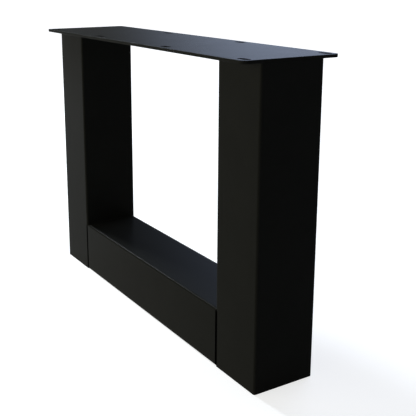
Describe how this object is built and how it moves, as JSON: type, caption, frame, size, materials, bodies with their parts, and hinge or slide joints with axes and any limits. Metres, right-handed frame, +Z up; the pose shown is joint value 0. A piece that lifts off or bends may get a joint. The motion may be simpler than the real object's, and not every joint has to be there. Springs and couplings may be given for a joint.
{
  "type": "u shaped table leg",
  "caption": "U-shaped table leg of welded box-section steel under a flat slotted plate, powder-coated black; it screws to the underside of a table or bench top.",
  "frame": {"origin": "on the floor under the middle of the leg: bottom centre of its box", "axes": "+Z up to the table top, +X along the leg's length across both uprights, +Y across the narrow way"},
  "size_m": [0.56, 0.139, 0.404],
  "materials": {
    "black_powder_coat": "satin black powder coat"
  },
  "bodies": {
    "root": {"left_upright": "black_powder_coat", "right_upright": "black_powder_coat", "crossbar": "black_powder_coat", "top_plate": "black_powder_coat", "left_foot_plate": "black_powder_coat", "right_foot_plate": "black_powder_coat"}
  },
  "joints": []
}
